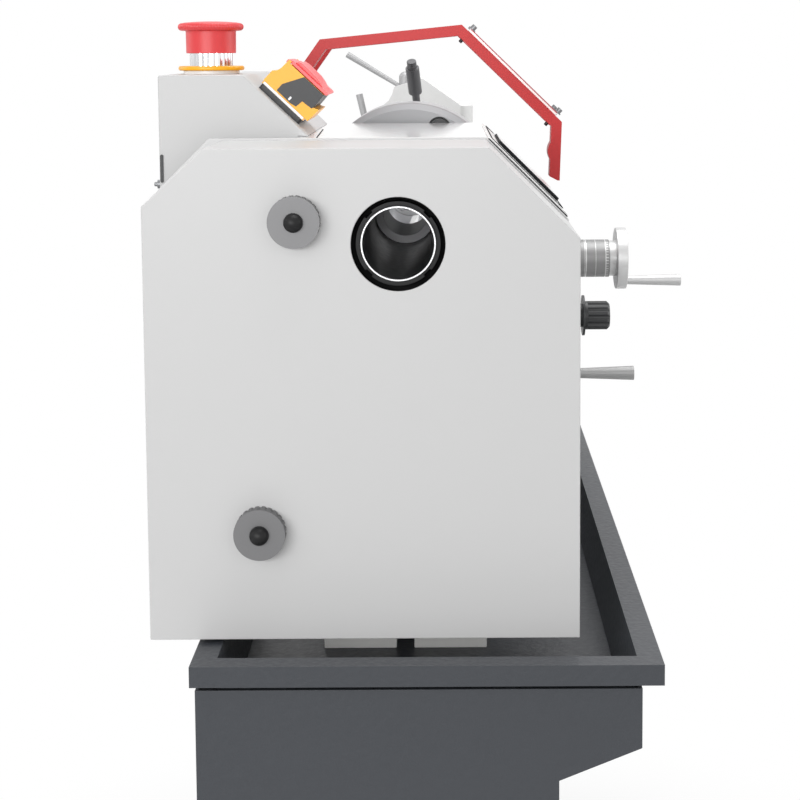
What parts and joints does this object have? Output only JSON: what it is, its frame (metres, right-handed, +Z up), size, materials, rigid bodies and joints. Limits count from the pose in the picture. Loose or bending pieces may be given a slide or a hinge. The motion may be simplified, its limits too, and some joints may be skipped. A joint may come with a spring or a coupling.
{
  "type": "metal lathe",
  "caption": "Metal lathe on a cabinet stand with chip tray, hollow spindle and chuck, guard, carriage with slides, tool post and tailstock.",
  "frame": {"origin": "on the floor, midway between the anchor holes and under the spindle axis", "axes": "+X along the bed towards the tailstock, -Y towards the operator, +Z up"},
  "size_m": [1.3793, 0.4705, 1.2035],
  "materials": {
    "white_paint": "semi-gloss",
    "slate_paint": "hammered",
    "red_paint": "semi-gloss",
    "motor_paint": "satin",
    "black_plastic": "matte",
    "yellow_plastic": "gloss",
    "red_plastic": "gloss",
    "green_plastic": "gloss",
    "panel_film": "satin",
    "clear_plastic": "clear",
    "steel": "ground",
    "dark_steel": "blackened",
    "cast_iron": "machined",
    "bright_metal": "polished",
    "gear_bronze": "satin",
    "belt_rubber": "matte"
  },
  "bodies": {
    "frame": {"left_cabinet": "slate_paint", "right_cabinet": "slate_paint", "chip_tray": "slate_paint", "riser_blocks": "white_paint", "bed": "cast_iron", "bed_bolts": "dark_steel", "rack": "steel", "leadscrew_brackets": "cast_iron", "headstock": "cast_iron", "headstock_housing": "white_paint", "spindle_bearings": "steel", "end_plate": "white_paint", "control_panel": "panel_film", "motor": "motor_paint", "drive_belt": "belt_rubber", "electrical_box": "white_paint", "estop_collar": "yellow_plastic", "switch_body": "yellow_plastic", "cover_studs": "dark_steel", "guard_bracket": "cast_iron", "gear_quadrant": "cast_iron"},
    "spindle": {"spindle": "steel", "ring_nut": "steel", "spindle_pulley": "steel", "chuck_body": "steel", "chuck_screws": "dark_steel"},
    "jaw_1": {"chuck_jaw_1": "steel"},
    "jaw_2": {"chuck_jaw_2": "steel"},
    "jaw_3": {"chuck_jaw_3": "steel"},
    "motor_rotor": {"motor_pulley": "steel"},
    "idler": {"idler_gear": "gear_bronze"},
    "leadscrew": {"leadscrew": "steel", "leadscrew_gear": "gear_bronze"},
    "cover": {"end_cover": "white_paint"},
    "upper_nut": {"upper_cover_nut": "bright_metal"},
    "lower_nut": {"lower_cover_nut": "bright_metal"},
    "selector": {"selector_knob": "steel"},
    "estop": {"estop_button": "red_plastic"},
    "flap": {"switch_flap": "red_plastic"},
    "start": {"start_button": "green_plastic"},
    "guard": {"guard_frame": "red_paint", "guard_shield": "clear_plastic"},
    "carriage": {"saddle": "cast_iron", "apron": "white_paint"},
    "handwheel": {"apron_handwheel": "bright_metal"},
    "wheel_grip": {"wheel_handle": "black_plastic"},
    "half_nut": {"half_nut_lever": "black_plastic"},
    "cross_slide": {"cross_slide": "cast_iron"},
    "cross_crank": {"cross_crank": "bright_metal"},
    "cross_grip": {"cross_handle": "black_plastic"},
    "swivel": {"swivel_base": "cast_iron"},
    "top_slide": {"top_slide": "cast_iron"},
    "top_crank": {"top_crank": "bright_metal"},
    "tool_post": {"tool_post": "dark_steel"},
    "post_lever": {"tool_post_lever": "black_plastic"},
    "tailstock": {"tailstock": "white_paint"},
    "quill": {"quill": "steel"},
    "tail_wheel": {"tailstock_handwheel": "bright_metal"},
    "quill_lever": {"quill_lever": "steel"},
    "clamp_lever": {"tailstock_clamp_lever": "steel"}
  },
  "joints": [
    {"name": "spindle_spin", "type": "hinge", "parent": "frame", "child": "spindle", "pos_m": [-0.4, 0, 1.047], "axis": [1, 0, 0], "continuous": true},
    {"name": "jaw_1_slide", "type": "slide", "parent": "spindle", "child": "jaw_1", "axis": [0, 0, 1], "range_m": [-0.007, 0.012]},
    {"name": "jaw_2_slide", "type": "slide", "parent": "spindle", "child": "jaw_2", "axis": [0, -0.866, -0.5], "range_m": [-0.007, 0.012]},
    {"name": "jaw_3_slide", "type": "slide", "parent": "spindle", "child": "jaw_3", "axis": [0, 0.866, -0.5], "range_m": [-0.007, 0.012]},
    {"name": "motor_spin", "type": "hinge", "parent": "frame", "child": "motor_rotor", "pos_m": [-0.55, 0.132, 0.961], "axis": [1, 0, 0], "continuous": true},
    {"name": "idler_spin", "type": "hinge", "parent": "frame", "child": "idler", "pos_m": [-0.563, -0.02067, 0.93896], "axis": [1, 0, 0], "continuous": true},
    {"name": "leadscrew_spin", "type": "hinge", "parent": "frame", "child": "leadscrew", "pos_m": [0, -0.091, 0.857], "axis": [1, 0, 0], "continuous": true},
    {"name": "cover_slide", "type": "slide", "parent": "frame", "child": "cover", "axis": [-1, 0, 0], "range_m": [0, 0.12]},
    {"name": "upper_nut_turn", "type": "hinge", "parent": "cover", "child": "upper_nut", "pos_m": [-0.634, 0.0712, 1.0634], "axis": [1, 0, 0], "continuous": true},
    {"name": "lower_nut_turn", "type": "hinge", "parent": "cover", "child": "lower_nut", "pos_m": [-0.634, 0.0978, 0.8452], "axis": [1, 0, 0], "continuous": true},
    {"name": "selector_turn", "type": "hinge", "parent": "frame", "child": "selector", "pos_m": [-0.499, -0.14, 0.9758], "axis": [0, -1, 0], "range_deg": [-45, 45]},
    {"name": "estop_press", "type": "slide", "parent": "frame", "child": "estop", "axis": [0, 0, -1], "range_m": [0, 0.004]},
    {"name": "flap_swing", "type": "hinge", "parent": "frame", "child": "flap", "pos_m": [-0.45, 0.08808, 1.17209], "axis": [-1, 0, 0], "range_deg": [0, 100]},
    {"name": "start_press", "type": "slide", "parent": "frame", "child": "start", "axis": [0, 0.6891, -0.7246], "range_m": [0, 0.003], "stiffness_N_per_m": 300},
    {"name": "guard_swing", "type": "hinge", "parent": "frame", "child": "guard", "pos_m": [-0.2, 0.103, 1.149], "axis": [-1, 0, 0], "range_deg": [0, 95]},
    {"name": "carriage_slide", "type": "slide", "parent": "frame", "child": "carriage", "axis": [1, 0, 0], "range_m": [-0.04, 0.09]},
    {"name": "handwheel_turn", "type": "hinge", "parent": "carriage", "child": "handwheel", "pos_m": [-0.034, -0.15, 0.829], "axis": [0, -1, 0], "range_deg": [-191.2, 429.9]},
    {"name": "wheel_grip_spin", "type": "hinge", "parent": "handwheel", "child": "wheel_grip", "pos_m": [0.014, -0.2, 0.829], "axis": [0, -1, 0], "continuous": true},
    {"name": "half_nut_swing", "type": "hinge", "parent": "carriage", "child": "half_nut", "pos_m": [0.072, -0.14, 0.872], "axis": [0, -1, 0], "range_deg": [-30, 30]},
    {"name": "cross_feed", "type": "slide", "parent": "carriage", "child": "cross_slide", "axis": [0, -1, 0], "range_m": [-0.045, 0.045]},
    {"name": "cross_crank_turn", "type": "hinge", "parent": "carriage", "child": "cross_crank", "pos_m": [0.012, -0.2, 0.955], "axis": [0, -1, 0], "range_deg": [-4055, 4055]},
    {"name": "cross_grip_spin", "type": "hinge", "parent": "cross_crank", "child": "cross_grip", "pos_m": [0.012, -0.25, 0.931], "axis": [0, -1, 0], "continuous": true},
    {"name": "swivel_turn", "type": "hinge", "parent": "cross_slide", "child": "swivel", "pos_m": [0.012, -0.005, 0.98], "axis": [0, 0, 1], "range_deg": [-45, 45]},
    {"name": "top_feed", "type": "slide", "parent": "swivel", "child": "top_slide", "axis": [1, 0, 0], "range_m": [-0.02, 0.03]},
    {"name": "top_crank_turn", "type": "hinge", "parent": "swivel", "child": "top_crank", "pos_m": [0.2, -0.005, 1.0128], "axis": [1, 0, 0], "range_deg": [-1803, 2703]},
    {"name": "tool_post_turn", "type": "hinge", "parent": "top_slide", "child": "tool_post", "pos_m": [0.012, -0.005, 1.06], "axis": [0, 0, 1], "range_deg": [-90, 90]},
    {"name": "post_lever_turn", "type": "hinge", "parent": "tool_post", "child": "post_lever", "pos_m": [0.012, -0.005, 1.1], "axis": [0, 0, 1], "range_deg": [-60, 60]},
    {"name": "tailstock_slide", "type": "slide", "parent": "frame", "child": "tailstock", "axis": [1, 0, 0], "range_m": [-0.06, 0.01]},
    {"name": "quill_feed", "type": "slide", "parent": "tailstock", "child": "quill", "axis": [-1, 0, 0], "range_m": [0, 0.06]},
    {"name": "tail_wheel_turn", "type": "hinge", "parent": "tailstock", "child": "tail_wheel", "pos_m": [0.63, 0, 1.047], "axis": [1, 0, 0], "range_deg": [-5403, 3]},
    {"name": "quill_lever_turn", "type": "hinge", "parent": "tailstock", "child": "quill_lever", "pos_m": [0.496, 0.0229, 1.13], "axis": [0, 0, 1], "range_deg": [-40, 40]},
    {"name": "clamp_lever_turn", "type": "hinge", "parent": "tailstock", "child": "clamp_lever", "pos_m": [0.526, 0.06, 0.987], "axis": [0, 1, 0], "range_deg": [-30, 30]}
  ],
  "couplings": [
    {"joint": "jaw_2_slide", "follows": "jaw_1_slide", "ratio": 1},
    {"joint": "jaw_3_slide", "follows": "jaw_1_slide", "ratio": 1},
    {"joint": "motor_spin", "follows": "spindle_spin", "ratio": 1.7391},
    {"joint": "idler_spin", "follows": "spindle_spin", "ratio": -0.375},
    {"joint": "leadscrew_spin", "follows": "spindle_spin", "ratio": 1.0714},
    {"joint": "handwheel_turn", "follows": "carriage_slide", "rad_per_m": 83.333},
    {"joint": "cross_crank_turn", "follows": "cross_feed", "rad_per_m": 1570.8},
    {"joint": "top_crank_turn", "follows": "top_feed", "rad_per_m": 1570.8},
    {"joint": "tail_wheel_turn", "follows": "quill_feed", "rad_per_m": -1570.8}
  ]
}
